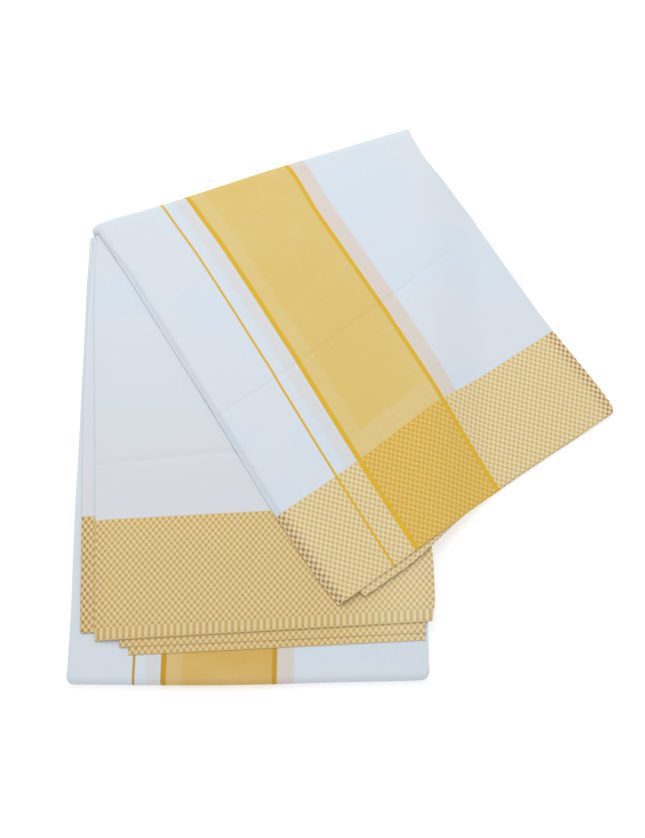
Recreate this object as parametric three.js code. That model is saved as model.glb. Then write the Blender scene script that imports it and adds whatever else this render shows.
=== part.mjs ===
// A dhoti folded for sale. Its length is folded into a strip of sixteen layers, and the strip into four
// panels that lie on each other: underside, bottom fold, front panel, and a flap that is folded over the
// oblique top fold, fanned out to one side, and hangs over the edge of the packet to the table.
//
// Millimetres, +Z up. The origin is on the table, under the middle of the outline. +Y runs from the
// bottom fold to the top fold, and +X to the side that the flap covers.

import * as THREE from 'three';

// ---- driving dimensions -------------------------------------------------------------------------------

const LEAF = 1.0;            // thickness of one leaf, about five layers of the cloth
const GAP = 0.3;             // between leaves, and at seams
const PITCH = LEAF + GAP;
const LEAVES_PER_PANEL = 3;  // a panel is sixteen layers, modelled as three leaves
const EDGE_ROUND = 0.4;      // how far the edge of a leaf is rounded off

const PANEL_PITCH = LEAVES_PER_PANEL * PITCH;
const PANEL = PANEL_PITCH - GAP;
const FOOT_HEIGHT = 2 * PANEL_PITCH - GAP;   // two panels turn at the bottom fold
const FRONT_HEIGHT = 3 * PANEL_PITCH;        // what the flap lies on
const FULL_HEIGHT = FRONT_HEIGHT + PANEL;

// The flap's whole panel turns round the top fold and one leaf round the bottom fold. Reach is how far
// a fold's legs run in from its edge, and round is the depth of its half round.
const TOP_FOLD = { wall: PANEL, height: FULL_HEIGHT, reach: 10, round: 8 };
const BOTTOM_FOLD = { wall: LEAF, height: FOOT_HEIGHT, reach: 9, round: 4.5 };
const ARC_STEPS = 12;

// The packet's two long sides lean a little: x at the back corner, and how far it has moved at the front.
const PACKET_LEFT = { back: -177.6, front: -174.2, backY: 116, frontY: -197 };
const PACKET_RIGHT = { back: 45, front: 49.5, backY: 198, frontY: -193 };

// The lines of the two folds, from left to right.
const TOP_FOLD_LINE = [
  { x: -177.6, y: 104.5 },
  { x: -176, y: 112.5 },
  { x: -171, y: 118.5 },
  { x: -130, y: 135 },
  { x: -60, y: 161 },
  { x: 0, y: 182 },
  { x: 45, y: 197.8 },
];
const BOTTOM_FOLD_LINE = [
  { x: -174.2, y: -192.5 },
  { x: -171, y: -196.6 },
  { x: -92, y: -197.9 },
  { x: 0, y: -195.4 },
  { x: 46, y: -193.4 },
  { x: 49.5, y: -189.5 },
];

// The flap's outline, from left to right: its front runs down its left side and along its selvedge, and
// its back, past the end of the top fold, runs down its right side.
const FLAP_FRONT = [
  { x: -168.5, y: 104 },
  { x: -166, y: 97.5 },
  { x: -100, y: -4 },
  { x: -8, y: -147.5 },
  { x: -5, y: -149 },
  { x: 0, y: -146.5 },
  { x: 28.6, y: -124.3 },
  { x: 101, y: -68 },
  { x: 175, y: -17 },
  { x: 177.5, y: -13.5 },
];
const FLAP_BACK = [
  { x: 45, y: 193.5 },
  { x: 49, y: 184.5 },
  { x: 58, y: 170 },
  { x: 71.5, y: 155 },
  { x: 89, y: 131 },
  { x: 126.5, y: 67 },
  { x: 175, y: -9 },
  { x: 177.5, y: -13 },
];

// The flap leaves the packet here and reaches the table here.
const FLAP_HANGS = { from: 51, to: 96, steps: 9 };

// The leaves of the front panel, the top one first: how far each side and each end of its selvedge is
// from the packet's sides and from the bottom fold.
const FRONT_LEAVES = [
  { name: 'front_panel', level: 8, leftBack: 8, leftFront: 15, right: -1, footLeft: 27, footRight: 36 },
  { name: 'front_leaf_2', level: 7, leftBack: 5, leftFront: 6, right: 1, footLeft: 32, footRight: 38 },
  { name: 'front_leaf_3', level: 6, leftBack: 14, leftFront: 34, right: 2, footLeft: 18, footRight: 24 },
];

// The leaves of the flap, the top one first: how far each stops short of the flap's outline.
const FLAP_LEAVES = [
  { name: 'flap_panel', level: 2, front: 0, back: 0, side: 0 },
  { name: 'flap_leaf_2', level: 1, front: 3, back: 2, side: 1.5 },
  { name: 'flap_layers', level: 0, front: 6, back: 4, side: 3 },
];

// ---- plan ---------------------------------------------------------------------------------------------

function along(line, x) {
  const last = line.length - 1;
  let i = 0;
  while (i < last - 1 && x > line[i + 1].x) i++;
  const t = THREE.MathUtils.clamp((x - line[i].x) / (line[i + 1].x - line[i].x), 0, 1);
  return THREE.MathUtils.lerp(line[i].y, line[i + 1].y, t);
}

function sideX(side, y) {
  return THREE.MathUtils.mapLinear(y, side.backY, side.frontY, side.back, side.front);
}

// x on the packet at a share of its width, from 0 at its left side to 1 at its right
function acrossPacket(share, y, leftInset, rightInset) {
  return THREE.MathUtils.lerp(
    sideX(PACKET_LEFT, y) + leftInset, sideX(PACKET_RIGHT, y) - rightInset, share);
}

// How far from a fold's edge a layer has to stop, for its corner at height z to clear the fold's wall.
function insideFold(z, { wall, height, reach, round }) {
  if (z < wall || z > height - wall) return reach + GAP;
  const fraction = Math.abs(z - height / 2) / (height / 2 - wall);
  return round - (round - wall) * Math.sqrt(1 - fraction * fraction) + GAP;
}

function leafInset(bottom, fold) {
  return Math.max(insideFold(bottom, fold), insideFold(bottom + LEAF, fold));
}

// ---- solids -------------------------------------------------------------------------------------------

// A closed solid through rings of equally many points; flatten gives the two coordinates of its end caps.
function loft(rings, flatten) {
  const count = rings[0].length;
  const positions = rings.flat().flatMap((p) => [p.x, p.y, p.z]);
  const faces = [];
  for (let r = 0; r + 1 < rings.length; r++) {
    for (let i = 0; i < count; i++) {
      const a = r * count + i;
      const b = r * count + ((i + 1) % count);
      faces.push([a, b, b + count], [a, b + count, a + count]);
    }
  }
  const addCap = (ringIndex, reversed) => {
    const outline = rings[ringIndex].map(flatten);
    const turn = Math.sign(THREE.ShapeUtils.area(outline)) * (reversed ? -1 : 1);
    for (const corners of THREE.ShapeUtils.triangulateShape(outline, [])) {
      const same = Math.sign(THREE.ShapeUtils.area(corners.map((c) => outline[c]))) === turn;
      const face = corners.map((c) => ringIndex * count + c);
      faces.push(same ? face : face.reverse());
    }
  };
  addCap(0, true);
  addCap(rings.length - 1, false);

  const point = (i) => new THREE.Vector3().fromArray(positions, 3 * i);
  const volume = faces.reduce((sum, [a, b, c]) => sum + point(a).dot(point(b).cross(point(c))), 0);
  if (volume < 0) faces.forEach((face) => face.reverse());

  const geometry = new THREE.BufferGeometry();
  geometry.setAttribute('position', new THREE.Float32BufferAttribute(positions, 3));
  geometry.setIndex(faces.flat());
  geometry.computeVertexNormals();
  return geometry;
}

const inYZ = (p) => new THREE.Vector2(p.y, p.z);
const inXY = (p) => new THREE.Vector2(p.x, p.y);

// The section of one flat leaf, from its front end to its back end, with rounded edges.
function leafSection(front, back, bottom, top) {
  const lip = (top - bottom) / 4;
  const round = Math.min(EDGE_ROUND, (back - front) / 4);
  return [
    [front, bottom + lip], [front + round, bottom], [back - round, bottom], [back, bottom + lip],
    [back, top - lip], [back - round, top], [front + round, top], [front, top - lip],
  ];
}

// Shares of the width at which the packet's sections stand: close together at the rounded corners.
const SHARES = [0, 0.002, 0.015, 0.03, 0.12, 0.25, 0.4, 0.55, 0.7, 0.85, 0.97, 0.985, 0.998, 1];

// A leaf's section is pinched to half its thickness at its two side edges.
function pinch(share) {
  return share === 0 || share === 1 ? LEAF / 4 : 0;
}

function packetLeaf({ level, leftBack, leftFront, right, footLeft, footRight }) {
  const bottom = level * PITCH;
  const back = leafInset(bottom, TOP_FOLD);
  const rings = SHARES.map((share) => {
    const xBack = acrossPacket(share, PACKET_RIGHT.backY, leftBack, right);
    const xFront = acrossPacket(share, PACKET_LEFT.frontY, leftFront, right);
    const yBack = along(TOP_FOLD_LINE, xBack) - back;
    const yFront = along(BOTTOM_FOLD_LINE, xFront) + THREE.MathUtils.lerp(footLeft, footRight, share);
    const section = leafSection(yFront, yBack, bottom + pinch(share), bottom + LEAF - pinch(share));
    return section.map(([y, z]) =>
      new THREE.Vector3(THREE.MathUtils.mapLinear(y, yFront, yBack, xFront, xBack), y, z));
  });
  return loft(rings, inYZ);
}

// Points of a half round that turns from the top of a fold to its foot; facing is +1 for the back.
function halfRound(edge, depth, bottom, top, facing, reversed) {
  const middle = (bottom + top) / 2;
  const half = (top - bottom) / 2;
  const points = [];
  for (let i = 0; i <= ARC_STEPS; i++) {
    const angle = Math.PI * (0.5 - i / ARC_STEPS);
    points.push([edge - facing * depth * (1 - Math.cos(angle)), middle + half * Math.sin(angle)]);
  }
  return reversed ? points.reverse() : points;
}

// The panel round the top fold: a U that is open towards the front.
function topFold() {
  const { wall, height, reach, round } = TOP_FOLD;
  const rings = SHARES.map((share) => {
    const edge = along(TOP_FOLD_LINE, acrossPacket(share, 0, 0, 0));
    const leg = edge - reach;
    const section = [
      [leg, height],
      ...halfRound(edge, round, 0, height, 1, false),
      [leg, 0],
      [leg, wall],
      ...halfRound(edge - wall, round - wall, wall, height - wall, 1, true),
      [leg, height - wall],
    ];
    return section.map(([y, z]) => new THREE.Vector3(acrossPacket(share, y, 0, 0), y, z));
  });
  return loft(rings, inYZ);
}

// The leaf round the bottom fold: its short leg lies on the table, and its long one is the whole face
// of the second panel, which shows in front of the front panel.
function bottomFoldPanel() {
  const { wall, height, reach, round } = BOTTOM_FOLD;
  const inset = leafInset(height - wall, TOP_FOLD);
  const rings = SHARES.map((share) => {
    const x = acrossPacket(share, 0, 0, 0);
    const edge = along(BOTTOM_FOLD_LINE, x);
    const back = along(TOP_FOLD_LINE, x) - inset;
    const leg = edge + reach;
    const section = [
      [back, height],
      ...halfRound(edge, round, 0, height, -1, false),
      [leg, 0],
      [leg, wall],
      ...halfRound(edge + wall, round - wall, wall, height - wall, -1, true),
      [back, height - wall],
    ];
    return section.map(([y, z]) => new THREE.Vector3(acrossPacket(share, y, 0, 0), y, z));
  });
  return loft(rings, inYZ);
}

// The leaf on the table, between the legs of the two folds.
function undersidePanel() {
  const rings = SHARES.map((share) => {
    const x = acrossPacket(share, 0, 0, 0);
    const front = along(BOTTOM_FOLD_LINE, x) + BOTTOM_FOLD.reach + GAP;
    const back = along(TOP_FOLD_LINE, x) - TOP_FOLD.reach - GAP;
    const section = [[front, 0], [back, 0], [back, LEAF], [front, LEAF]];
    return section.map(([y, z]) => new THREE.Vector3(acrossPacket(share, y, 0, 0), y, z));
  });
  return loft(rings, inYZ);
}

// The hidden layers between the underside and the face of the second panel. Each leaf's folded edge is a
// rounded ridge round the side of the solid.
const HIDDEN_LEVELS = [1, 2, 3, 4];
const RIDGE_INSET = [0.6, 1.4, 0.4, 1.1];   // how far in from the packet's side each ridge stands
const GROOVE = 1.3;                         // depth of the grooves between the ridges

function packetLayers() {
  const heights = HIDDEN_LEVELS.flatMap((level, i) => [
    { z: level * PITCH, inset: RIDGE_INSET[i] + GROOVE / 2 },
    { z: level * PITCH + LEAF * 0.3, inset: RIDGE_INSET[i] },
    { z: level * PITCH + LEAF * 0.7, inset: RIDGE_INSET[i] },
    { z: level * PITCH + LEAF, inset: RIDGE_INSET[i] + GROOVE / 2 },
    { z: level * PITCH + LEAF + GAP / 2, inset: RIDGE_INSET[i] + GROOVE },
  ]).slice(0, -1);
  const shares = SHARES.filter((share) => share === 0 || share === 1 || (share > 0.01 && share < 0.99));
  const rings = heights.map(({ z, inset }) => {
    const row = (line, sign, fold) => shares.map((share) => {
      const y = along(line, acrossPacket(share, 0, 0, 0)) - sign * (fold + inset);
      return new THREE.Vector3(acrossPacket(share, y, inset, inset), y, z);
    });
    const back = row(TOP_FOLD_LINE, 1, insideFold(z, TOP_FOLD));
    const front = row(BOTTOM_FOLD_LINE, -1, insideFold(z, BOTTOM_FOLD));
    return [...front, ...back.reverse()];
  });
  return loft(rings, inXY);
}

// One leaf of the flap: it lies on the front panel, hangs over the packet's side, and lies on the table.
function restingHeight(x) {
  return FRONT_HEIGHT * (1 - THREE.MathUtils.smoothstep(x, FLAP_HANGS.from, FLAP_HANGS.to));
}

function flapStations(first, last) {
  const corners = [...FLAP_FRONT, ...FLAP_BACK].map((p) => p.x);
  const hang = Array.from({ length: FLAP_HANGS.steps + 1 },
    (_, i) => THREE.MathUtils.lerp(FLAP_HANGS.from, FLAP_HANGS.to, i / FLAP_HANGS.steps));
  const inside = [...corners, ...hang].filter((x) => x > first + 1 && x < last - 1).sort((a, b) => a - b);
  const spaced = inside.filter((x, i) => i === 0 || x - inside[i - 1] > 0.8);
  return [first, first + EDGE_ROUND, ...spaced, last - EDGE_ROUND, last];
}

function flapLeaf({ level, front, back, side }) {
  const leftmost = FLAP_FRONT[0].x + side;
  const rightmost = FLAP_FRONT.at(-1).x - side;
  const foldInset = TOP_FOLD.reach + GAP;
  const rings = flapStations(leftmost, rightmost).map((x) => {
    const squeeze = x === leftmost || x === rightmost ? LEAF / 4 : 0;
    const bottom = restingHeight(x) + level * PITCH;
    const fold = along(TOP_FOLD_LINE, x) - foldInset;
    const yBack = x < PACKET_RIGHT.back ? fold : Math.min(fold, along(FLAP_BACK, x) - back);
    const yFront = Math.min(along(FLAP_FRONT, x) + front, yBack - EDGE_ROUND);
    const section = leafSection(yFront, yBack, bottom + squeeze, bottom + LEAF - squeeze);
    return section.map(([y, z]) => new THREE.Vector3(x, y, z));
  });
  return loft(rings, inYZ);
}

// ---- the folded cloth ---------------------------------------------------------------------------------

const WHITE = 0xe9eef0;
const GOLD = 0xdcc16d;

function cottonMaterial(color) {
  return new THREE.MeshStandardMaterial({ color, roughness: 0.85, metalness: 0 });
}

const group = new THREE.Group();

function addPiece(name, geometry, color = WHITE) {
  const mesh = new THREE.Mesh(geometry, cottonMaterial(color));
  mesh.name = name;
  group.add(mesh);
}

addPiece('underside_panel', undersidePanel());
addPiece('bottom_fold_panel', bottomFoldPanel());
addPiece('packet_layers', packetLayers());
for (const leaf of FRONT_LEAVES) {
  addPiece(leaf.name, packetLeaf(leaf));
}
addPiece('top_fold', topFold(), GOLD);
for (const leaf of FLAP_LEAVES) {
  addPiece(leaf.name, flapLeaf(leaf), GOLD);
}

export default group;
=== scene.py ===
import math

import bmesh
import bpy
import numpy as np
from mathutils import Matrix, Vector


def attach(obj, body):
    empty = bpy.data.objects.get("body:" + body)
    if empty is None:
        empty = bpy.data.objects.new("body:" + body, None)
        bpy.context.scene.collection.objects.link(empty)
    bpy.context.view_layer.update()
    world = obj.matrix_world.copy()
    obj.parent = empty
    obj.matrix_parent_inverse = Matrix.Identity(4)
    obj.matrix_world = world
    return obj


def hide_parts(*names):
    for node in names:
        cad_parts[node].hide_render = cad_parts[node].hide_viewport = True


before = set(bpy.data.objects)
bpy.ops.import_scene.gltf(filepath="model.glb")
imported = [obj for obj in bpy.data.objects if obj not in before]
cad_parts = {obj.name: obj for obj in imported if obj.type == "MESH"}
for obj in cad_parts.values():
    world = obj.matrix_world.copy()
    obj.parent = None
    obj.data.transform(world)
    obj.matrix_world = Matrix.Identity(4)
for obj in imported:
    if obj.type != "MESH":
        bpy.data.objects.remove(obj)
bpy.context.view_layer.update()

# ---- the underside of the packet -----------------------------------------------------------------------
# The outermost layers of the first panel, plain cotton that lies flat on the table between the two folds.
# A panel is sixteen layers of cloth; they are modelled as three leaves, each of about five layers.
MM = 0.001
PITCH = 1.3
LEAF = 1.26

TOP_FOLD_LINE = [
    dict(x=-179.4, y=96.0),
    dict(x=-179.1, y=108.2),
    dict(x=-178.0, y=115.0),
    dict(x=-174.8, y=120.2),
    dict(x=-168.0, y=123.2),
    dict(x=-130.0, y=135.8),
    dict(x=-60.0, y=161.4),
    dict(x=0.0, y=182.4),
    dict(x=45.0, y=197.8),
    dict(x=56.0, y=201.5),
]
BOTTOM_FOLD_LINE = [
    dict(x=-175.6, y=-191.6),
    dict(x=-174.6, y=-195.6),
    dict(x=-171.6, y=-197.3),
    dict(x=-92.0, y=-197.9),
    dict(x=0.0, y=-195.9),
    dict(x=45.6, y=-194.7),
    dict(x=48.5, y=-192.8),
    dict(x=49.4, y=-190.2),
]
PACKET_SIDES = [
    dict(y=-200.0, left=-175.0, right=49.2),
    dict(y=-160.0, left=-174.9, right=49.6),
    dict(y=-90.0, left=-176.4, right=48.6),
    dict(y=0.0, left=-177.2, right=47.6),
    dict(y=70.0, left=-178.0, right=46.4),
    dict(y=200.0, left=-179.2, right=44.9),
]
THIRD_LEAF_SIDES = [
    dict(y=-182.0, left=-142.6, right=47.8),
    dict(y=-90.0, left=-147.0, right=47.0),
    dict(y=0.0, left=-155.0, right=45.6),
    dict(y=200.0, left=-160.0, right=43.8),
]
TOP_FOLD_REACH = 10.0
BOTTOM_FOLD_REACH = 9.0
UNDERSIDE_GAPS = dict(front=1.1, back=2.53)
UNDERSIDE_MARGIN = 0.4
THIN_LINE_X = -133.9
HALF_CLOTH = 635.0
SINK = dict(drop=LEAF, above=7.7, deepens_in=1.4, far=17.0, near=2.0)
SWELLS = [
    dict(height=0.34, x=0.021, y=0.013, phase=0.6),
    dict(height=0.26, x=-0.017, y=0.034, phase=2.1),
    dict(height=0.12, x=0.061, y=0.043, phase=4.0),
]
SWELL_LOWERED = 0.25
SWELL_FROM = 1.5
SWELL_DEEPENS_IN = 12.0
RIDGE_WANDER = 0.16


def column(rows, key, value, name):
    """A table's column at a value of its key, read smoothly between the rows."""
    keys = np.array([row[key] for row in rows], float)
    values = np.array([row[name] for row in rows], float)
    rates = np.diff(values) / np.diff(keys)
    both = rates[:-1] * rates[1:]
    between = np.where(both > 0, 2 * both / np.where(both > 0, rates[:-1] + rates[1:], 1), 0)
    slopes = np.concatenate([rates[:1], between, rates[-1:]])
    i = np.clip(np.searchsorted(keys, value) - 1, 0, len(keys) - 2)
    step = keys[i + 1] - keys[i]
    t = np.clip((value - keys[i]) / step, 0, 1)
    start = (1 + 2 * t) * (1 - t) ** 2 * values[i] + t * (1 - t) ** 2 * step * slopes[i]
    return start + t * t * (3 - 2 * t) * values[i + 1] + t * t * (t - 1) * step * slopes[i + 1]


def soft_step(low, high, value):
    """0 below low and 1 above high, with a smooth rise between them."""
    t = np.clip((value - low) / (high - low), 0, 1)
    return t * t * (3 - 2 * t)


def top_fold_y(x):
    return column(TOP_FOLD_LINE, "x", x, "y")


def bottom_fold_y(x):
    return column(BOTTOM_FOLD_LINE, "x", x, "y")


def packet_x(share, y, margin=0.0):
    """x at a share of the packet's width, from its left side to its right, each moved in by a margin."""
    low = column(PACKET_SIDES, "y", y, "left") + margin
    high = column(PACKET_SIDES, "y", y, "right") - margin
    return low + share * (high - low)


def middle(level):
    """Height of the middle of the leaf at a level of the pile, from 0 on the table to 11 on top."""
    return level * PITCH + LEAF / 2


def hand_folded(x, y, z):
    """The pile as hands leave it: the upper panels sink where the leaf under them stops short of the
    packet's left side, and the whole rises and falls slowly, more the higher it lies."""
    short_of = column(THIRD_LEAF_SIDES, "y", y, "left")
    unheld = 1 - soft_step(short_of - SINK["far"], short_of - SINK["near"], x)
    z = z - SINK["drop"] * unheld * np.clip((z - SINK["above"]) / SINK["deepens_in"], 0, 1)
    swell = sum(wave["height"] * np.sin(wave["x"] * x + wave["y"] * y + wave["phase"]) for wave in SWELLS)
    return z + (swell - SWELL_LOWERED) * np.clip((z - SWELL_FROM) / SWELL_DEEPENS_IN, 0, 1)


def rim_profile(depth, ridges, along, seed):
    """How far the rim stands out at a share of a leaf's depth, and how its ridges wander on their way.
    A rim of a single ridge doesn't wander."""
    place = np.clip(depth, 0, 1) * ridges
    ridge = np.minimum(np.floor(place), ridges - 1)
    round_out = np.sqrt(np.clip(1 - (2 * (place - ridge) - 1) ** 2, 0, 1))
    slow = np.sin(0.043 * along + 2.3 * ridge + seed)
    quick = np.sin(0.117 * along + 4.1 * ridge + 2 * seed)
    return round_out, RIDGE_WANDER * (slow + 0.6 * quick) * (ridges > 1)


def leaf_facing(surface, s, t):
    """Unit vectors across and along a leaf at s and t, and the way its upper side faces."""
    tiny = 1e-4
    left, right = np.maximum(s - tiny, 0), np.minimum(s + tiny, 1)
    start, end = np.maximum(t - tiny, 0), np.minimum(t + tiny, 1)
    across = np.array(surface(right, t))[:3] - np.array(surface(left, t))[:3]
    along = np.array(surface(s, end))[:3] - np.array(surface(s, start))[:3]
    across /= np.linalg.norm(across, axis=0)
    along /= np.linalg.norm(along, axis=0)
    facing = np.cross(across.T, along.T).T
    return across, along, facing / np.linalg.norm(facing, axis=0)


def make_leaf(name, columns, rows, surface, material, ridges=3, thickness=LEAF, bulge=0.4, press=None):
    """A leaf of cloth: a grid given its thickness, with a ridged rim. surface(s, t) gives x, y and z of
    the leaf's middle and its place u, v on the flat cloth, all in millimetres. bulge is how far the rim
    stands out, and press(u, v) moves the upper side."""
    bm = bmesh.new()
    bmesh.ops.create_grid(bm, x_segments=columns, y_segments=rows, size=0.5)
    bmesh.ops.translate(bm, verts=bm.verts, vec=(0.5, 0.5, 0))
    raised = bmesh.ops.extrude_face_region(bm, geom=bm.faces[:])["geom"]
    raised = [part for part in raised if isinstance(part, bmesh.types.BMVert)]
    bmesh.ops.translate(bm, verts=raised, vec=(0, 0, 1))
    rim = [edge for edge in bm.edges if abs(edge.verts[0].co.z - edge.verts[1].co.z) > 0.5]
    bmesh.ops.subdivide_edges(bm, edges=rim, cuts=4 * ridges - 1, use_grid_fill=True)
    bmesh.ops.recalc_face_normals(bm, faces=bm.faces)
    mesh = bpy.data.meshes.new(name)
    bm.to_mesh(mesh)
    bm.free()

    grid = np.empty(len(mesh.vertices) * 3)
    mesh.vertices.foreach_get("co", grid)
    raw_s, t, depth = np.clip(grid.reshape(-1, 3).T, 0, 1)
    crowding = 0.75
    s = np.clip(raw_s - crowding * np.sin(2 * math.pi * raw_s) / (2 * math.pi), 0, 1)
    place = np.array(surface(s, t))
    across, along, facing = leaf_facing(surface, s, t)

    edge = 1e-4
    side = (raw_s > 1 - edge).astype(float) - (raw_s < edge)
    end = (t > 1 - edge).astype(float) - (t < edge)
    round_out, wander = rim_profile(depth, ridges, place[0] + place[1], len(name))
    reach = (bulge * round_out + wander) / np.sqrt(np.maximum(1, np.abs(side) + np.abs(end)))
    offset = (depth - 0.5) * thickness
    if press is not None:
        offset = offset + press(place[3], place[4]) * depth
    points = place[:3] + facing * offset + (across * side + along * end) * reach
    points[2] = hand_folded(*points)
    mesh.vertices.foreach_set("co", (points * MM).T.ravel())

    turned = (1 - depth) * thickness
    u = (place[3] + side * turned) * MM
    v = (place[4] + end * turned) * MM
    corners = np.empty(len(mesh.loops), np.int32)
    mesh.loops.foreach_get("vertex_index", corners)
    layer = mesh.uv_layers.new(name="cloth")
    layer.data.foreach_set("uv", np.stack([u[corners], v[corners]], axis=1).ravel())
    width = np.linalg.norm(np.array(surface(0 * s + 1, t))[:3] - np.array(surface(0 * s, t))[:3], axis=0)
    to_side = mesh.attributes.new("to_side", "FLOAT", "POINT")
    to_side.data.foreach_set("value", np.minimum(s, 1 - s) * width * MM)
    mesh.polygons.foreach_set("use_smooth", [True] * len(mesh.polygons))
    mesh.materials.append(material)
    mesh.update()
    piece = bpy.data.objects.new(name, mesh)
    bpy.context.collection.objects.link(piece)
    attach(piece, "root")
    return piece


class Nodes:
    """A material's or group's node tree, with short calls for the nodes that cloth needs."""

    def __init__(self, tree):
        self.tree = tree

    def add(self, kind, *inputs, **settings):
        node = self.tree.nodes.new(kind)
        for key, value in settings.items():
            setattr(node, key, value)
        for socket, value in zip(node.inputs, inputs):
            self.put(socket, value)
        return node

    def put(self, socket, value):
        if isinstance(value, bpy.types.NodeSocket):
            self.tree.links.new(value, socket)
        elif value is not None:
            socket.default_value = value

    def math(self, operation, *inputs):
        return self.add("ShaderNodeMath", *inputs, operation=operation).outputs[0]

    def ramp(self, value, start, stop):
        node = self.add("ShaderNodeMapRange", value, start, stop, 0.0, 1.0, interpolation_type="SMOOTHSTEP")
        return node.outputs[0]

    def within(self, value, low, high, blur):
        """1 between low and high, fading out over blur on both sides."""
        rise = self.ramp(value, low - blur / 2, low + blur / 2)
        fall = self.ramp(value, high - blur / 2, high + blur / 2)
        return self.math("MULTIPLY", rise, self.math("SUBTRACT", 1.0, fall))

    def mix(self, share, first, second):
        node = self.tree.nodes.new("ShaderNodeMix")
        node.data_type = "RGBA"
        self.put(node.inputs[0], share)
        self.put(node.inputs[6], first)
        self.put(node.inputs[7], second)
        return node.outputs[2]

    def noise(self, place, stretch, detail=2.0):
        """Soft noise on the flat cloth; stretch is how many lumps there are in a millimetre each way."""
        scaled = self.add("ShaderNodeVectorMath", place, (*stretch, 0.0), operation="MULTIPLY").outputs[0]
        node = self.add("ShaderNodeTexNoise", noise_dimensions="2D")
        self.put(node.inputs["Vector"], scaled)
        node.inputs["Scale"].default_value = 1.0
        node.inputs["Detail"].default_value = detail
        return node.outputs[0]


def colour(red, green, blue):
    """A colour given as it is seen, in parts of 255, as the shader's own linear values."""
    seen = [part / 255 for part in (red, green, blue)]
    return tuple(p / 12.92 if p <= 0.04045 else ((p + 0.055) / 1.055) ** 2.4 for p in seen) + (1.0,)


def cloth_group(name, outputs):
    """A node group that reads the place on the flat cloth in metres and works in millimetres."""
    group = bpy.data.node_groups.new(name, "ShaderNodeTree")
    group.interface.new_socket("Cloth", in_out="INPUT", socket_type="NodeSocketVector")
    for label in outputs:
        group.interface.new_socket(label, in_out="OUTPUT", socket_type="NodeSocketFloat")
    n = Nodes(group)
    given = group.nodes.new("NodeGroupInput")
    result = group.nodes.new("NodeGroupOutput")
    to_mm = (1000.0, 1000.0, 0.0)
    place = n.add("ShaderNodeVectorMath", given.outputs["Cloth"], to_mm, operation="MULTIPLY").outputs[0]
    return group, n, place, result


def plain_weave_group():
    """Fine plain weave: threads that pass over and under each other, a few of them thicker than the rest."""
    group, n, place, result = cloth_group("plain weave", ["Height", "Slubs", "Cloudy"])
    threads_per_mm = 2.4
    split = n.add("ShaderNodeSeparateXYZ", place)
    warp = n.math("SINE", n.math("MULTIPLY", split.outputs[0], threads_per_mm * math.pi))
    weft = n.math("SINE", n.math("MULTIPLY", split.outputs[1], threads_per_mm * math.pi))
    n.put(result.inputs["Height"], n.math("MULTIPLY_ADD", n.math("MULTIPLY", warp, weft), 0.5, 0.5))
    slub_width, slub_length, clouds = 1.3, 0.03, (0.013, 0.016)
    lengthwise = n.noise(place, (slub_width, slub_length))
    crosswise = n.noise(place, (slub_length, slub_width))
    n.put(result.inputs["Slubs"], n.math("MULTIPLY", n.math("ADD", lengthwise, crosswise), 0.5))
    n.put(result.inputs["Cloudy"], n.noise(place, clouds, detail=3.0))
    return group


plain_weave = plain_weave_group()
COTTON_COOL = colour(210, 220, 230)
COTTON_WARM = colour(213, 220, 227)
COTTON_SLUB = colour(184, 193, 203)
# Painted shade: the grey that the white cotton is mixed towards low on the front panel.
COTTON_PAINTED_SHADE = colour(211, 214, 219)


def start_cloth(name):
    """A cotton material that reads the place on the flat cloth, with its weave in the bump."""
    material = bpy.data.materials.new(name)
    material.use_nodes = True
    n = Nodes(material.node_tree)
    shader = n.tree.nodes["Principled BSDF"]
    shader.inputs["Roughness"].default_value = 0.82
    shader.inputs["Specular IOR Level"].default_value = 0.22
    shader.inputs["Sheen Weight"].default_value = 0.1
    shader.inputs["Sheen Roughness"].default_value = 0.45
    cloth = n.add("ShaderNodeUVMap", uv_map="cloth").outputs[0]
    weave = n.add("ShaderNodeGroup", node_tree=plain_weave)
    n.put(weave.inputs["Cloth"], cloth)
    bump = n.add("ShaderNodeBump")
    bump.inputs["Strength"].default_value = 0.2
    bump.inputs["Distance"].default_value = 0.00012
    n.put(bump.inputs["Height"], n.math("MULTIPLY_ADD", weave.outputs["Slubs"], 2.0, weave.outputs["Height"]))
    n.put(shader.inputs["Normal"], bump.outputs[0])
    white = n.mix(n.ramp(weave.outputs["Cloudy"], 0.35, 0.65), COTTON_COOL, COTTON_WARM)
    white = n.mix(n.math("MULTIPLY", weave.outputs["Slubs"], 0.16), white, COTTON_SLUB)
    return material, n, shader, cloth, weave, white


def plain_cotton_material():
    material, n, shader, _, _, white = start_cloth("plain_cotton")
    n.put(shader.inputs["Base Color"], white)
    return material


plain_cotton = plain_cotton_material()


def underside(s, t):
    x = packet_x(s, 0.0)
    front = bottom_fold_y(x) + BOTTOM_FOLD_REACH + UNDERSIDE_GAPS["front"]
    back = top_fold_y(x) - TOP_FOLD_REACH - UNDERSIDE_GAPS["back"]
    y = front + t * (back - front)
    x = packet_x(s, y, UNDERSIDE_MARGIN)
    return x, y, middle(0) + 0 * y, x - THIN_LINE_X, HALF_CLOTH - (y - bottom_fold_y(x))


piece = make_leaf("underside_cloth", 60, 90, underside, plain_cotton)
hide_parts("underside_panel")

# ---- the heart of the packet ---------------------------------------------------------------------------
# Ten of the layers between the underside and the bottom fold, plain cotton that turns with it at the front.
# Only the ridges of its folded edges show, along the packet's two long sides.
BOTTOM_TURN = 4.5
BOTTOM_ROW = -190.0
HEART_THICKNESS = LEAF + PITCH
HEART_LEVELS = (1.5, 3.5)
HEART_GAPS = dict(upper_gap=25.0, lower_gap=13.3)
HEART_MARGIN = 0.9
HEART_CROWDING = 0.93


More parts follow.
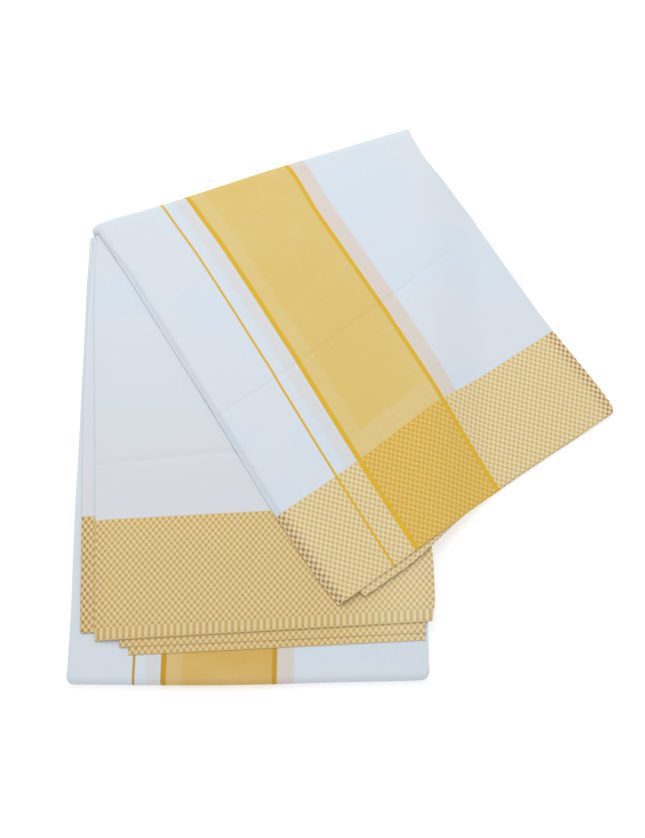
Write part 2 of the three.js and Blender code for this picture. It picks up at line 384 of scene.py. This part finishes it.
def turn_place(run, edge, turn, first, last):
    """Distance in from a fold's line and height, at a run of cloth from where it starts to turn; edge is
    how far the turn stops short of the line. The third value is the length of the turn itself."""
    angle = np.linspace(-math.pi / 2, math.pi / 2, 61)
    inward = turn - (turn - edge) * np.cos(angle)
    height = (first + last) / 2 + (last - first) / 2 * np.sin(angle)
    length = np.concatenate([[0], np.cumsum(np.hypot(np.diff(inward), np.diff(height)))])
    straight = np.maximum(-run, 0) + np.maximum(run - length[-1], 0)
    return np.interp(run, length, inward) + straight, np.interp(run, length, height), length[-1]


def round_the_bottom(s, t, edge, levels, upper_gap, lower_gap=None, margin=0.0):
    """A sheet from the end of its lower leg, round the bottom fold, to where it stops under the top fold.
    A gap is how far a leg stops short of the top fold's line; without one the lower leg is a short one."""
    x = packet_x(s, BOTTOM_ROW, margin)
    depth = top_fold_y(x) - bottom_fold_y(x)
    low, high = middle(levels[0]), middle(levels[1])
    turned = turn_place(0 * x, edge, BOTTOM_TURN, low, high)[2]
    lower_leg = BOTTOM_FOLD_REACH if lower_gap is None else depth - lower_gap
    start = BOTTOM_TURN - lower_leg
    end = turned + depth - upper_gap - BOTTOM_TURN
    run = start + t * (end - start)
    inward, height, _ = turn_place(run, edge, BOTTOM_TURN, low, high)
    y = bottom_fold_y(x) + inward
    return packet_x(s, y, margin), y, height, x - THIN_LINE_X, HALF_CLOTH - run + turned / 2


def heart(s, t):
    crowded = t + HEART_CROWDING * np.sin(2 * math.pi * t) / (2 * math.pi)
    edge = PITCH + HEART_THICKNESS / 2
    return round_the_bottom(s, crowded, edge, HEART_LEVELS, margin=HEART_MARGIN, **HEART_GAPS)


piece = make_leaf("heart_cloth", 50, 170, heart, plain_cotton, ridges=6, thickness=HEART_THICKNESS)
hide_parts("packet_layers")

# ---- the bottom fold -----------------------------------------------------------------------------------
# The outer layers of the second panel, drawn round the front of the packet and up over it. Two fine gold
# lines and a broad gold band are woven across the cloth here, and run straight round the fold.
LINE_GOLD = colour(215, 175, 45)
# The deeper line and band golds are painted shade: darker copies of the gold for the bottom fold.
PAINTED_SHADE_LINE_GOLD = colour(198, 150, 40)
BAND_GOLD = colour(218, 193, 115)
PAINTED_SHADE_BAND_GOLD = colour(211, 172, 86)
PALE_GOLD = colour(221, 203, 152)
PEACH = colour(213, 200, 188)
CHECK_GOLD = colour(196, 161, 90)
PANEL_CHECKS = dict(gold=CHECK_GOLD, cream=colour(222, 202, 154))
PALE_CHECKS = dict(gold=colour(204, 175, 113), cream=colour(226, 211, 172))
# Painted shade: the brown that gold check cells are darkened towards where a leaf rolls over at its side.
PAINTED_FOLD_SHADE_GOLD = colour(158, 112, 56)
RICH_GOLD = colour(206, 164, 66)
RICH_CREAM = colour(222, 190, 104)
BORDER_TOP = 77.0
DASHES = (2.0, 7.5)
CHECK_WIDTH = 2.0
CHECK_HEIGHT = 2.4
NO_BANDS = 500.0
STRIPES = dict(
    thin_line=(-0.8, 0.8),
    left_line=(16.8, 20.2),
    right_line=(86.0, 89.0),
    band=(18.5, 87.5),
    pale_strip=(19.5, 30.0),
    peach=(88.0, 99.5),
    show_through=(8.0, 16.0),
)
# Where the painted shade on the white fades out, in millimetres up from the selvedge.
PAINTED_SHADE_FADES = (110.0, 250.0)
PALER_FROM = (110.0, 170.0)
# Where the painted fold shade fades out, in millimetres in from a leaf's side.
FOLD_SHADE_FADES = (2.0, 10.0)
BOTTOM_FOLD_LEVELS = (0, 5)
BOTTOM_FOLD_GAP = 9.6


def gold_bands_group():
    """The stripes across the cloth, by the distance from the thin line in millimetres."""
    outputs = ["Lines", "Band", "Pale strip", "Peach", "Show-through"]
    group, n, place, result = cloth_group("gold bands", outputs)
    u = n.add("ShaderNodeSeparateXYZ", place).outputs[0]
    thin = n.within(u, *STRIPES["thin_line"], 0.5)
    left = n.within(u, *STRIPES["left_line"], 0.8)
    right = n.within(u, *STRIPES["right_line"], 0.8)
    n.put(result.inputs["Lines"], n.math("MAXIMUM", thin, n.math("MAXIMUM", left, right)))
    n.put(result.inputs["Band"], n.within(u, *STRIPES["band"], 0.6))
    n.put(result.inputs["Pale strip"], n.within(u, *STRIPES["pale_strip"], 3.0))
    n.put(result.inputs["Peach"], n.within(u, *STRIPES["peach"], 3.0))
    n.put(result.inputs["Show-through"], n.within(u, *STRIPES["show_through"], 5.0))
    return group


def gold_border_group():
    """The border along a selvedge, by the distance from it: fine checks over a row of upright dashes."""
    group, n, place, result = cloth_group("gold border", ["Border", "Gold", "Above"])
    split = n.add("ShaderNodeSeparateXYZ", place)
    u, v = split.outputs[0], split.outputs[1]
    across = n.math("SINE", n.math("MULTIPLY", u, math.pi / CHECK_WIDTH))
    down = n.math("SINE", n.math("MULTIPLY", v, math.pi / CHECK_HEIGHT))
    checks = n.ramp(n.math("MULTIPLY", across, down), -0.7, 0.9)
    dashes = n.math("MULTIPLY", n.ramp(across, -0.5, 0.7), 0.8)
    in_dashes = n.within(v, *DASHES, 0.4)
    dashes_part = n.math("MULTIPLY", dashes, in_dashes)
    checks_part = n.math("MULTIPLY", checks, n.math("SUBTRACT", 1.0, in_dashes))
    n.put(result.inputs["Gold"], n.math("ADD", dashes_part, checks_part))
    n.put(result.inputs["Border"], n.math("SUBTRACT", 1.0, n.ramp(v, BORDER_TOP - 0.5, BORDER_TOP + 0.5)))
    n.put(result.inputs["Above"], n.within(v, BORDER_TOP, BORDER_TOP + 16.0, 5.0))
    return group


gold_bands = gold_bands_group()
gold_border = gold_border_group()


def in_metres(places, start=0.0):
    """Two places on the flat cloth in metres, counted from start."""
    return tuple((start + place) * MM for place in places)


def bordered_cotton_material(name, band_gold, line_gold, checks, fold_shade_share, painted_shade=0.0):
    """Cotton with the woven gold of this cloth: bands across it, and the checked border at its selvedge.
    Where a leaf is folded at its side its checks are browner, a painted shade of the rolled fold, by
    fold_shade_share. The white above the border greys towards it with painted shade, by shaded. On the front
    panel the checks grow paler towards the right side."""
    material, n, shader, cloth, weave, white = start_cloth(name)
    bands = n.add("ShaderNodeGroup", node_tree=gold_bands)
    border = n.add("ShaderNodeGroup", node_tree=gold_border)
    n.put(bands.inputs["Cloth"], cloth)
    n.put(border.inputs["Cloth"], cloth)
    uneven = n.ramp(weave.outputs["Cloudy"], 0.3, 0.7)
    split = n.add("ShaderNodeSeparateXYZ", cloth)
    # Painted shade: the white greys towards the selvedge and fades out higher up.
    painted_shade_low = n.math("SUBTRACT", 1.0, n.ramp(split.outputs[1], *in_metres(PAINTED_SHADE_FADES)))
    white = n.mix(n.math("MULTIPLY", painted_shade_low, painted_shade), white, COTTON_PAINTED_SHADE)
    tint = n.mix(n.math("MULTIPLY", bands.outputs["Peach"], 0.8), white, PEACH)
    tint = n.mix(n.math("MULTIPLY", bands.outputs["Show-through"], 0.35), tint, PEACH)
    pale = n.math("MULTIPLY", bands.outputs["Pale strip"], 0.4)
    above = n.math("MULTIPLY", border.outputs["Above"], 0.55)
    gold = n.mix(n.math("MULTIPLY", uneven, 0.4), band_gold, PALE_GOLD)
    gold = n.mix(n.math("MAXIMUM", pale, above), gold, PALE_GOLD)
    gold = n.mix(n.math("MULTIPLY", weave.outputs["Slubs"], 0.3), gold, CHECK_GOLD)
    # Painted shade on the gold check cells where a leaf rolls over at its side, strongest at the side.
    to_side = n.add("ShaderNodeAttribute", attribute_name="to_side").outputs["Fac"]
    painted_fold_shade = n.math("SUBTRACT", 1.0, n.ramp(to_side, *in_metres(FOLD_SHADE_FADES)))
    to_right = n.ramp(split.outputs[0], *in_metres(PALER_FROM, NO_BANDS))
    gold_cell = n.mix(to_right, checks["gold"], PALE_CHECKS["gold"])
    gold_cell = n.mix(n.math("MULTIPLY", painted_fold_shade, fold_shade_share), gold_cell, PAINTED_FOLD_SHADE_GOLD)
    cream_cell = n.mix(to_right, checks["cream"], PALE_CHECKS["cream"])
    checked = n.mix(border.outputs["Gold"], cream_cell, gold_cell)
    rich = n.mix(border.outputs["Gold"], RICH_CREAM, RICH_GOLD)
    plain_part = n.mix(border.outputs["Border"], tint, checked)
    band_part = n.mix(border.outputs["Border"], gold, rich)
    finish = n.mix(bands.outputs["Band"], plain_part, band_part)
    finish = n.mix(bands.outputs["Lines"], finish, line_gold)
    n.put(shader.inputs["Base Color"], finish)
    return material


# The bottom fold's cloth: the same weave, with its golds darkened as painted shade.
fold_cotton_painted_shade = bordered_cotton_material("fold_cotton_painted_shade", PAINTED_SHADE_BAND_GOLD, PAINTED_SHADE_LINE_GOLD, PANEL_CHECKS, 0.0)


def bottom_fold(s, t):
    crowded = 0.2 * t + 0.8 * t * t
    return round_the_bottom(s, crowded, LEAF / 2, BOTTOM_FOLD_LEVELS, BOTTOM_FOLD_GAP)


piece = make_leaf("bottom_fold_cloth", 110, 190, bottom_fold, fold_cotton_painted_shade)
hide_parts("bottom_fold_panel")

# ---- the front panel -----------------------------------------------------------------------------------
# The third panel lies on the bottom fold with its selvedges to the front, where its leaves have slipped
# past each other, so that their checked borders lie in steps. Two of them turn under at the top fold.
TOP_LEVEL = 11
TOP_TURN = 8.0
OUTWARD = (-0.347, 0.938)
TO_SEAM = TOP_FOLD_REACH + 0.2
SELVEDGE_ROW = -165.0
SEAM_ROW = 140.0
LEANS_OVER = (60.0, 130.0)
DROOP_RUN = 11.0
PRESSED_WIDTH = 1.7
SELVEDGE_HEM = 7.5
HEM_EASED = 0.75
FRONT_CREASE = dict(at=116.0, rise=0.045, depth=0.6)

TOP_LEAF_SIDES = [
    dict(y=-172.0, left=-158.2, right=51.0),
    dict(y=-157.3, left=-159.0, right=52.0),
    dict(y=-144.5, left=-159.8, right=53.7),
    dict(y=-118.5, left=-161.2, right=53.2),
    dict(y=-93.9, left=-162.4, right=50.6),
    dict(y=-7.0, left=-167.8, right=47.6),
    dict(y=70.0, left=-172.4, right=46.2),
    dict(y=105.0, left=-173.4, right=45.4),
    dict(y=200.0, left=-171.0, right=45.0),
]
SECOND_LEAF_SIDES = [
    dict(y=-172.0, left=-167.3, right=50.4),
    dict(y=-91.1, left=-171.4, right=49.4),
    dict(y=0.0, left=-175.8, right=46.6),
    dict(y=80.0, left=-176.8, right=45.2),
    dict(y=105.0, left=-176.2, right=44.8),
    dict(y=200.0, left=-172.0, right=44.2),
]


def front_leaf(s, t, sides, selvedge, level, tail, hem=SELVEDGE_HEM, slip=0.0, droop=0.0):
    """A leaf from its selvedge up the packet, and round inside the top fold if it has a tail to turn.
    hem is the cloth turned under at its selvedge, most of which the border has gained back by its top,
    slip is how far its left side is moved in, and droop how far its selvedge sinks."""
    def side_x(y):
        low = column(sides, "y", y, "left") + slip
        return low + s * (column(sides, "y", y, "right") - low)

    front = column(selvedge, "x", side_x(SELVEDGE_ROW), "y")
    seam_x = side_x(SEAM_ROW)
    line_x = seam_x + OUTWARD[0] * TO_SEAM
    seam_y = top_fold_y(line_x) - OUTWARD[1] * TO_SEAM
    run = t * (seam_y - front + tail)
    y = np.minimum(front + run, seam_y)
    x = side_x(y) + (seam_x - side_x(seam_y)) * soft_step(*LEANS_OVER, y)
    height = middle(level) - droop * (1 - soft_step(0, DROOP_RUN, run))
    beyond = run - (seam_y - front)
    if tail > 0:
        edge = (TOP_LEVEL - level) * PITCH + LEAF / 2
        past_seam = beyond - (TO_SEAM - TOP_TURN)
        inward, turned, _ = turn_place(past_seam, edge, TOP_TURN, middle(level), middle(TOP_LEVEL - level))
        x = np.where(beyond > 0, line_x - OUTWARD[0] * inward, x)
        y = np.where(beyond > 0, top_fold_y(line_x) - OUTWARD[1] * inward, y)
        height = np.where(beyond > 0, turned, height)
    turned_under = hem * (1 - HEM_EASED * np.minimum(run / BORDER_TOP, 1))
    return x, y, height, x - THIN_LINE_X + NO_BANDS, run + turned_under


def pressed_crease(v, at, depth):
    """The line that a hard fold leaves in cloth once it is opened out again."""
    return -depth * np.exp(-(((v - at) / PRESSED_WIDTH) ** 2))


LOWEST_SELVEDGE = [dict(x=-138.0, y=-179.6), dict(x=-40.0, y=-174.6), dict(x=47.8, y=-170.2)]
THIRD_SELVEDGE = [dict(x=-143.0, y=-174.7), dict(x=-40.0, y=-170.0), dict(x=47.8, y=-165.6)]
SECOND_SELVEDGE = [dict(x=-167.5, y=-165.6), dict(x=-60.0, y=-160.6), dict(x=50.0, y=-156.0)]
TOP_SELVEDGE = [dict(x=-158.4, y=-170.7), dict(x=-60.0, y=-164.9), dict(x=51.1, y=-158.4)]

HALF_LEAF = LEAF / 2 - 0.02


def lowest_leaf(s, t):
    return front_leaf(s, t, THIRD_LEAF_SIDES, LOWEST_SELVEDGE, 5.75, 0.0, slip=5.4)


def third_leaf(s, t):
    return front_leaf(s, t, THIRD_LEAF_SIDES, THIRD_SELVEDGE, 6.25, 0.0)


def second_leaf(s, t):
    return front_leaf(s, t, SECOND_LEAF_SIDES, SECOND_SELVEDGE, 7, 20.0)


def top_leaf(s, t):
    return front_leaf(s, t, TOP_LEAF_SIDES, TOP_SELVEDGE, 8, 24.0, hem=0.0, droop=1.2)


def front_crease(u, v):
    """Halfway up the panel, rising a little to the right."""
    at = FRONT_CREASE["at"] + FRONT_CREASE["rise"] * (u - NO_BANDS)
    return pressed_crease(v, at, FRONT_CREASE["depth"])


# Both front materials carry painted shade: greyer white near the border and browner checks at rolled sides.
front_cotton = bordered_cotton_material("front_cotton", BAND_GOLD, LINE_GOLD, PANEL_CHECKS, 0.2, 0.85)
second_cotton = bordered_cotton_material("second_cotton", BAND_GOLD, LINE_GOLD, PANEL_CHECKS, 0.6, 0.85)

piece = make_leaf("front_lowest_leaf", 70, 120, lowest_leaf, front_cotton, 1, HALF_LEAF, 0.3)

piece = make_leaf("front_third_leaf", 70, 120, third_leaf, front_cotton, 1, HALF_LEAF, 0.3)
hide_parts("front_leaf_3")

piece = make_leaf("front_second_leaf", 80, 170, second_leaf, second_cotton, 1, bulge=0.6)
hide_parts("front_leaf_2")

piece = make_leaf("front_top_leaf", 130, 230, top_leaf, front_cotton, 1, bulge=0.6, press=front_crease)
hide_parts("front_panel")

# ---- the flap ------------------------------------------------------------------------------------------
# The last panel comes up round the outside of the top fold, lies slantwise on the packet and hangs over its
# edge to the table. Its bands run down to the checked border, whose selvedge is turned under and pressed.
FLAP_ORIGIN = (28.6, -124.2)
FLAP_RIGHT = (0.8559, 0.5172)
FLAP_UP = (-0.5172, 0.8559)
FLAP_HANGS = dict(start=51.0, end=96.0)
FLAP_ACROSS = dict(left=-46.0, width=227.0)
LEFT_SLOPE = 4.6
FOLD_DRIFT = 0.25
CORNER = dict(share=0.68, start=-178.0, end=-150.0)
BENDS_BEFORE_SEAM = 42.0
LEFT_NARROWS = (270.0, 300.0)

FLAP_AT_TOP_FOLD = [
    dict(u=-52.0, x=-178.8),
    dict(u=-46.0, x=-177.2),
    dict(u=-38.0, x=-169.2),
    dict(u=0.0, x=-128.0),
    dict(u=18.5, x=-110.5),
    dict(u=87.5, x=-41.0),
    dict(u=181.0, x=44.9),
    dict(u=192.0, x=55.0),
]
FLAP_SELVEDGE = [
    dict(u=-42.8, v=-3.0),
    dict(u=0.0, v=0.0),
    dict(u=25.8, v=2.5),
    dict(u=91.1, v=10.3),
    dict(u=183.4, v=15.3),
]
FLAP_LEFT = [
    dict(v=-3.0, u=-42.8),
    dict(v=15.0, u=-44.8),
    dict(v=65.0, u=-46.8),
    dict(v=162.0, u=-46.8),
    dict(v=262.0, u=-47.4),
    dict(v=288.0, u=-48.6),
    dict(v=306.0, u=-50.0),
]
FLAP_RIGHT_SIDE = [
    dict(v=15.0, u=182.6),
    dict(v=19.0, u=184.4),
    dict(v=24.0, u=184.8),
    dict(v=105.0, u=181.2),
    dict(v=180.0, u=181.8),
    dict(v=217.0, u=178.4),
    dict(v=236.0, u=176.8),
    dict(v=257.0, u=179.4),
]


def top_fold_outward(x):
    """The unit vector that points straight out of the packet at the top fold."""
    slope = top_fold_y(x + 0.5) - top_fold_y(x - 0.5)
    size = np.hypot(1, slope)
    return -slope / size, 1 / size


def flap_seam(u):
    """Where the flap's flat part reaches the top fold: the line's x, the way outward, the share of the
    fold's reach that it has there, how far up the flap that is, and how far it is shifted sideways."""
    line_x = column(FLAP_AT_TOP_FOLD, "u", u, "x")
    out_x, out_y = top_fold_outward(line_x)
    share = CORNER["share"] + (1 - CORNER["share"]) * soft_step(CORNER["start"], CORNER["end"], line_x)
    x = line_x - out_x * TOP_FOLD_REACH * share
    y = top_fold_y(line_x) - out_y * TOP_FOLD_REACH * share
    off_x, off_y = x - FLAP_ORIGIN[0], y - FLAP_ORIGIN[1]
    v = off_x * FLAP_UP[0] + off_y * FLAP_UP[1]
    shift = off_x * FLAP_RIGHT[0] + off_y * FLAP_RIGHT[1] - u
    return line_x, out_x, out_y, share, v, shift


def flap_place(u, v):
    """Middle of the flap's top leaf at u and v on it; past the seam, v runs on round the top fold."""
    line_x, out_x, out_y, share, seam_v, shift = flap_seam(u)
    flat_v = np.minimum(v, seam_v)
    bent_u = u + shift * soft_step(seam_v - BENDS_BEFORE_SEAM, seam_v, flat_v)
    x = FLAP_ORIGIN[0] + bent_u * FLAP_RIGHT[0] + flat_v * FLAP_UP[0]
    y = FLAP_ORIGIN[1] + bent_u * FLAP_RIGHT[1] + flat_v * FLAP_UP[1]
    hanging = soft_step(FLAP_HANGS["start"], FLAP_HANGS["end"], x)
    z = middle(TOP_LEVEL) - (middle(TOP_LEVEL) - middle(2)) * hanging
    past_seam = v - seam_v
    run = past_seam - (TOP_FOLD_REACH - TOP_TURN)
    inward, turned, _ = turn_place(run, LEAF / 2, TOP_TURN, middle(TOP_LEVEL), middle(0))
    over = past_seam > 0
    x = np.where(over, line_x - out_x * inward * share, x)
    y = np.where(over, top_fold_y(line_x) - out_y * inward * share, y)
    return np.array([x, y, np.where(over, turned, z)])


FOLD_LENGTH = turn_place(0.0, LEAF / 2, TOP_TURN, middle(TOP_LEVEL), middle(0))[2]
FOLD_LENGTH = FOLD_LENGTH + 2 * (TOP_FOLD_REACH - TOP_TURN)


def flap_cloth(u, v, below):
    """A place on the flap, at a depth below the middle of its top leaf."""
    step = 0.2
    across = flap_place(u + step, v) - flap_place(u - step, v)
    along = flap_place(u, v + step) - flap_place(u, v - step)
    facing = np.cross(across.T, along.T).T
    return flap_place(u, v) - facing / np.linalg.norm(facing, axis=0) * below


def flap_selvedge(u):
    return column(FLAP_SELVEDGE, "u", u, "v")


def stripe_wander(u, v):
    """The bands are a little wavy: how far the pattern lies to one side of its straight line."""
    kink = 0.25 * soft_step(142, 152, v) * (1 - soft_step(152, 176, v))
    return 0.8 * np.sin(0.0215 * v + 0.35 + 0.01 * u) - 0.3 - kink


def flap_leaf(s, t, depth, front, side):
    """A leaf of the flap; front is how far its selvedge stops short of the top leaf's, and side how far
    its edges do. The top leaf slopes down at its left, and the leaves below it stop where the slope ends."""
    inset = LEFT_SLOPE + side if side > 0 else 0
    rough = FLAP_ACROSS["left"] + inset + s * (FLAP_ACROSS["width"] - inset - side)
    start = flap_selvedge(rough) + front(rough)
    end = flap_seam(rough)[4] + FOLD_LENGTH
    v = start + t * (end - start)
    left = column(FLAP_LEFT, "v", v, "u") + inset + side * soft_step(*LEFT_NARROWS, v)
    right = column(FLAP_RIGHT_SIDE, "v", v, "u") - side
    u = left + s * (right - left)
    sloping = 1 - soft_step(0, LEFT_SLOPE, u - left) if side == 0 else 0
    x, y, z = flap_cloth(u, v, depth + 2 * PITCH * sloping)
    pattern_u = u + stripe_wander(u, v) + FOLD_DRIFT * np.maximum(v - flap_seam(u)[4], 0)
    pattern_u = pattern_u + NO_BANDS * (side > 0)
    return x, y, z, pattern_u, v - flap_selvedge(u) - front(u) + SELVEDGE_HEM


def top_selvedge(u):
    return 0 * u


def slipped_selvedge(u):
    """The second leaf shows past the top leaf's selvedge, most of all near the thin line."""
    slip, held_back, ripple = 4.6, 1.6, 0.08
    shows = soft_step(-31.5, -28.5, u)
    slipped = slip * shows * (1 - 0.95 * soft_step(0, 66, u))
    return held_back * (1 - shows) - slipped * (1 + ripple * np.sin(0.8 * u))


def low_selvedge(u):
    return 2.0 + 0 * u


def flap_layers(s, t):
    return flap_leaf(s, t, 2 * PITCH, low_selvedge, 3.4)


def flap_second_leaf(s, t):
    return flap_leaf(s, t, PITCH, slipped_selvedge, 2.2)


def flap_top_leaf(s, t):
    return flap_leaf(s, t, 0.0, top_selvedge, 0)


def flap_crease(u, v):
    """Straight across the bands, then bent up towards the right side, where it fades."""
    at = 155.4 + 11.0 * soft_step(90, 185, u)
    depth = 0.55 - 0.45 * soft_step(110, 165, u)
    return pressed_crease(v, at, depth)


# The flap's checks get strong painted shade where its leaves roll over at their sides.
flap_cotton = bordered_cotton_material("flap_cotton", BAND_GOLD, LINE_GOLD, PALE_CHECKS, 0.8)

piece = make_leaf("flap_low_layers", 90, 170, flap_layers, flap_cotton, 2)
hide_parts("flap_layers")

piece = make_leaf("flap_second_leaf", 110, 200, flap_second_leaf, flap_cotton, 2)
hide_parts("flap_leaf_2")

piece = make_leaf("flap_top_leaf", 150, 270, flap_top_leaf, flap_cotton, 2, press=flap_crease)
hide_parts("flap_panel", "top_fold")

# ---- the table, the light and the camera ---------------------------------------------------------------
# A plain white table, a large soft lamp above and behind the left shoulder, and white walls all round.
bm = bmesh.new()
bmesh.ops.create_grid(bm, x_segments=2, y_segments=2, size=4.0)
mesh = bpy.data.meshes.new("table_top")
bm.to_mesh(mesh)
bm.free()
table = bpy.data.objects.new("table_top", mesh)
bpy.context.collection.objects.link(table)
table_white = bpy.data.materials.new("table_white")
table_white.use_nodes = True
table_shader = table_white.node_tree.nodes["Principled BSDF"]
table_shader.inputs["Base Color"].default_value = (0.6, 0.6, 0.6, 1.0)
table_shader.inputs["Emission Color"].default_value = (1.0, 1.0, 1.0, 1.0)
table_shader.inputs["Emission Strength"].default_value = 0.5
table_shader.inputs["Roughness"].default_value = 0.9
table_shader.inputs["Specular IOR Level"].default_value = 0.1
mesh.materials.append(table_white)

room = bpy.data.worlds.new("white_room")
room.use_nodes = True
room.node_tree.nodes["Background"].inputs["Color"].default_value = (1.0, 1.0, 1.0, 1.0)
room.node_tree.nodes["Background"].inputs["Strength"].default_value = 0.72
bpy.context.scene.world = room


def aim(thing, spot):
    """Point a lamp or the camera at a spot, from where it stands."""
    thing.rotation_euler = (Vector(spot) - thing.location).to_track_quat("-Z", "Y").to_euler()


lamp_data = bpy.data.lights.new("soft_lamp", "AREA")
lamp_data.shape = "SQUARE"
lamp_data.size = 0.9
lamp_data.energy = 3.8
lamp = bpy.data.objects.new("soft_lamp", lamp_data)
lamp.location = (-0.1, 0.36, 0.8)
bpy.context.collection.objects.link(lamp)

LOOK_AT = (-0.01656, -0.02035, 0.0)
CAMERA_DISTANCE = 0.9016
CAMERA_TILT = math.radians(20)
camera_data = bpy.data.cameras.new("camera")
camera_data.lens = 57.9
camera_data.sensor_width = 36.0
camera = bpy.data.objects.new("camera", camera_data)
camera.location = (
    LOOK_AT[0],
    LOOK_AT[1] - CAMERA_DISTANCE * math.sin(CAMERA_TILT),
    LOOK_AT[2] + CAMERA_DISTANCE * math.cos(CAMERA_TILT),
)
bpy.context.collection.objects.link(camera)
aim(lamp, (0.0, 0.0, 0.0))
aim(camera, LOOK_AT)
bpy.context.scene.camera = camera
bpy.context.scene.view_settings.view_transform = "Standard"

bpy.context.view_layer.update()
